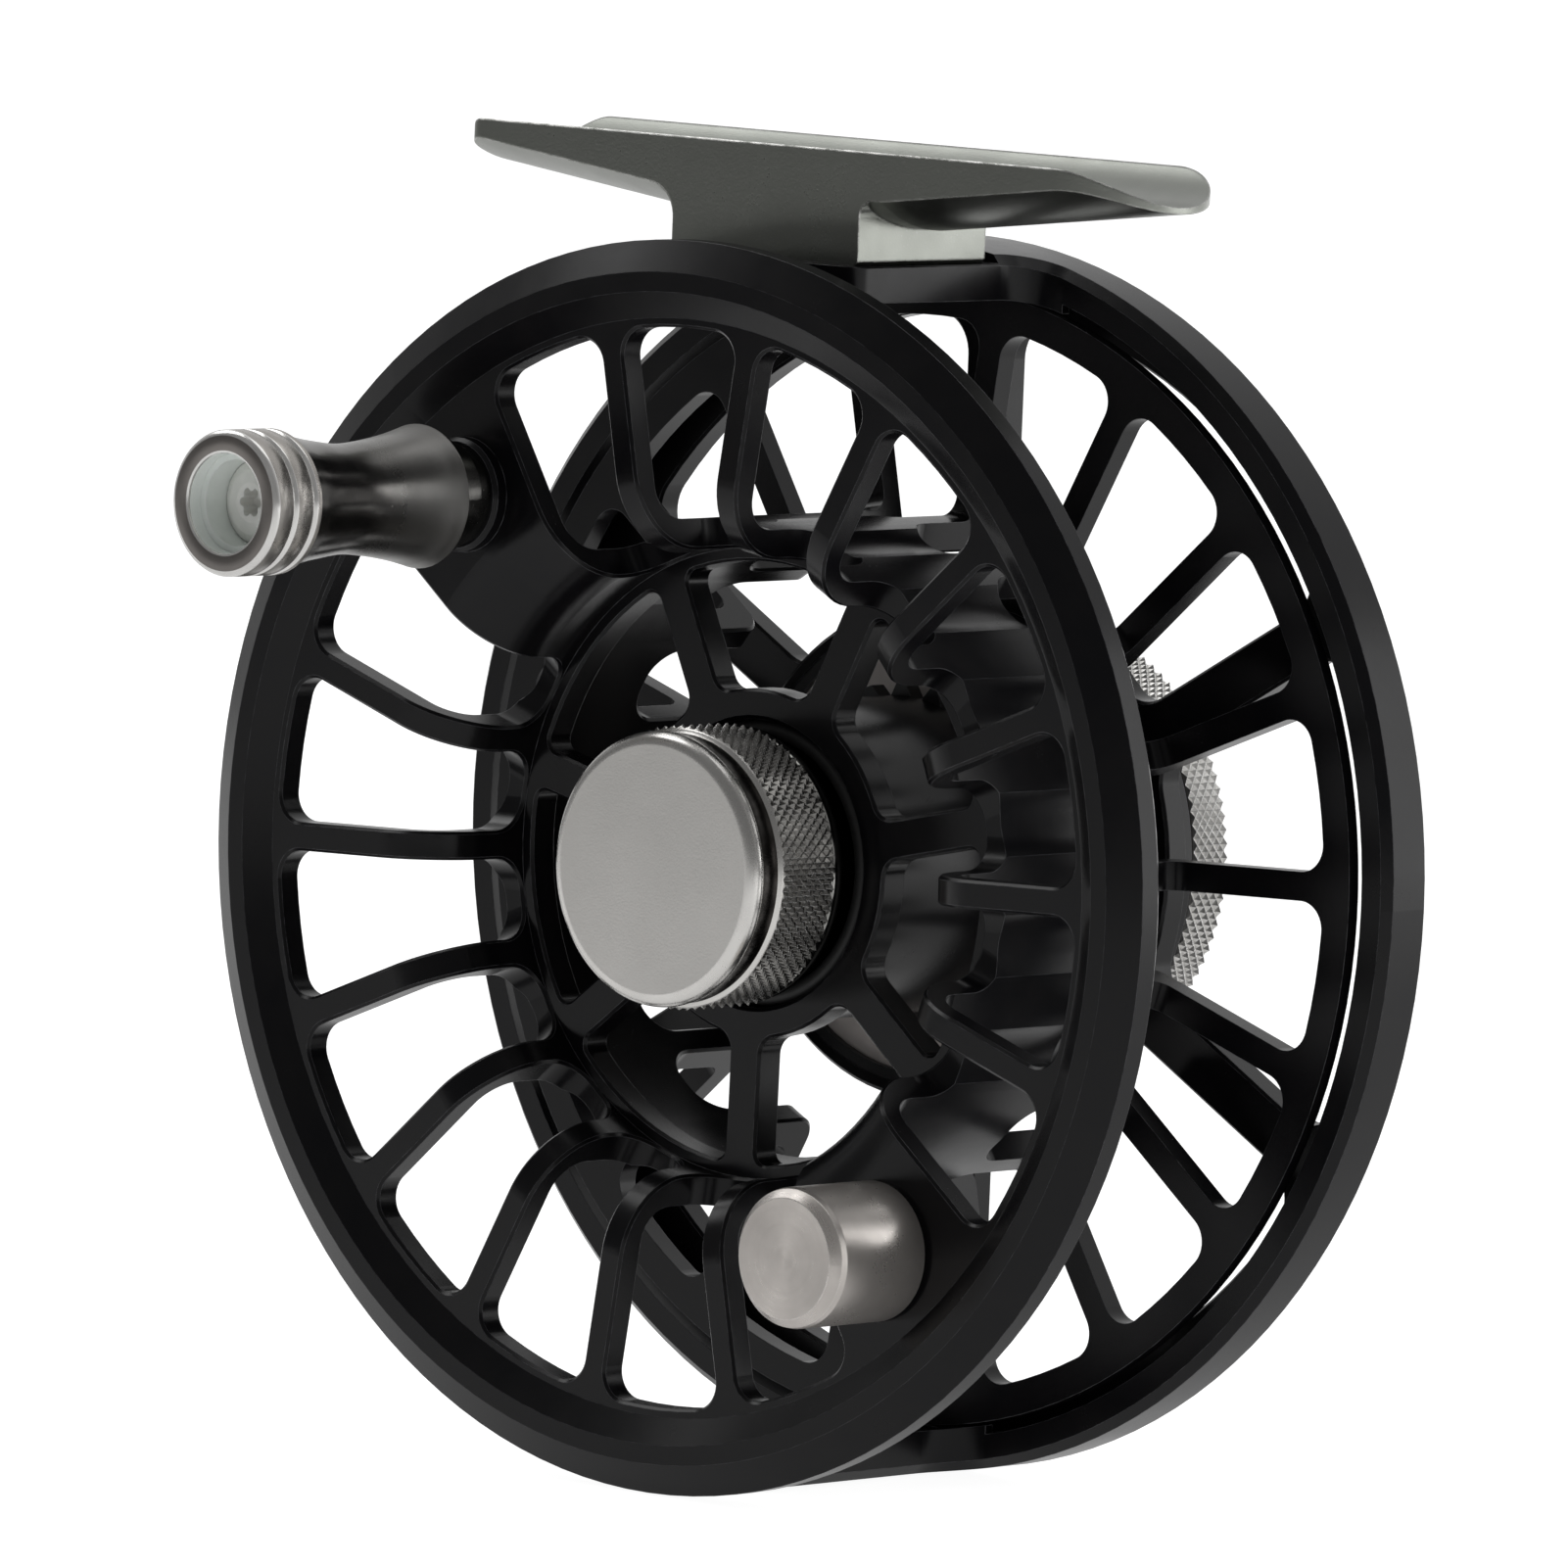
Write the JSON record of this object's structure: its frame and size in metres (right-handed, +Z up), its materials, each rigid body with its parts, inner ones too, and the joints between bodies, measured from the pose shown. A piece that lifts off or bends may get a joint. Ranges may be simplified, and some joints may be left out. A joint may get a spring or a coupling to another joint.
{
  "type": "fly reel",
  "caption": "Large-arbor fly reel: ported spool with crank handle and counterweight, half-cage frame, rod foot and a sealed disc drag with a rear drag knob.",
  "frame": {"origin": "middle of the rod seat on top of the foot, level with the seat's long edges", "axes": "+Z up out of the rod seat; X along the rod; +Y from the handle side to the drag knob side, parallel to the spool's axis"},
  "size_m": [0.095, 0.0716, 0.1022],
  "materials": {
    "anodised_black": "satin black anodised",
    "foot_titanium": "satin bead-blasted grey anodised",
    "gunmetal": "polished gunmetal",
    "cap_silver": "satin silver, knurled edge",
    "stainless": "turned",
    "steel": "machined",
    "black_spring_steel": "blackened",
    "cover_grey": "turned, grey",
    "seal_rubber": "matt",
    "bushing_plastic": "acetal",
    "carbon": "woven carbon friction disc"
  },
  "bodies": {
    "frame": {"frame": "anodised_black", "reel_foot": "foot_titanium", "foot_screws": "steel", "spindle": "steel", "spindle_clip": "steel", "drag_cover": "cover_grey", "cover_clip": "black_spring_steel", "front_drag_disc": "carbon", "steel_disc": "steel", "pressure_plate": "steel", "disc_spring": "steel", "knob_screw": "steel", "pawl_pivot": "steel", "pawl_spring": "steel"},
    "drive_sleeve": {"drive_sleeve": "steel", "front_bearing": "steel", "rear_bearing": "steel"},
    "drag_rotor": {"drag_rotor": "steel", "one_way_clutch": "steel", "rear_drag_disc": "carbon", "third_drag_disc": "carbon"},
    "spool": {"spool": "anodised_black", "click_gear": "black_spring_steel", "counterweight": "stainless", "counterweight_screw": "steel", "handle_screw": "steel", "handle_collar": "gunmetal"},
    "handle": {"handle_grip": "gunmetal", "handle_bushings": "bushing_plastic"},
    "cap_clip": {"cap_clip": "steel"},
    "spool_cap": {"spool_cap": "cap_silver", "cap_seal": "seal_rubber"},
    "drag_knob": {"drag_knob": "cap_silver"},
    "drag_thrust": {"thrust_washer": "steel", "thrust_pins": "steel"},
    "click_pawl": {"click_pawl": "steel"}
  },
  "joints": [
    {"name": "spool_spin", "type": "hinge", "parent": "frame", "child": "drive_sleeve", "pos_m": [0, 0, -0.0547], "axis": [0, -1, 0], "continuous": true},
    {"name": "spool_release", "type": "slide", "parent": "drive_sleeve", "child": "spool", "axis": [0, -1, 0], "range_m": [0, 0.045]},
    {"name": "handle_spin", "type": "hinge", "parent": "spool", "child": "handle", "pos_m": [-0.02262, -0.0302, -0.02812], "axis": [0, -1, 0], "continuous": true},
    {"name": "cap_turn", "type": "hinge", "parent": "cap_clip", "child": "spool_cap", "pos_m": [0, 0, -0.0547], "axis": [0, -1, 0], "range_deg": [0, 1080]},
    {"name": "cap_lift", "type": "slide", "parent": "spool", "child": "cap_clip", "axis": [0, -1, 0], "range_m": [0, 0.0023]},
    {"name": "drag_knob_turn", "type": "hinge", "parent": "frame", "child": "drag_knob", "pos_m": [0, 0, -0.0547], "axis": [0, -1, 0], "range_deg": [0, 300]},
    {"name": "drag_thrust_slide", "type": "slide", "parent": "frame", "child": "drag_thrust", "axis": [0, -1, 0], "range_m": [0, 0.00045]},
    {"name": "drag_slip", "type": "hinge", "parent": "frame", "child": "drag_rotor", "pos_m": [0, 0, -0.0547], "axis": [0, -1, 0], "continuous": true},
    {"name": "pawl_lift", "type": "hinge", "parent": "frame", "child": "click_pawl", "pos_m": [-0.01325, 0.0105, -0.06364], "axis": [0, -1, 0], "range_deg": [0, 12]}
  ],
  "couplings": [
    {"joint": "cap_lift", "follows": "cap_turn", "m_per_rad": 0.00011937},
    {"joint": "drag_thrust_slide", "follows": "drag_knob_turn", "m_per_rad": 0.000084034}
  ]
}
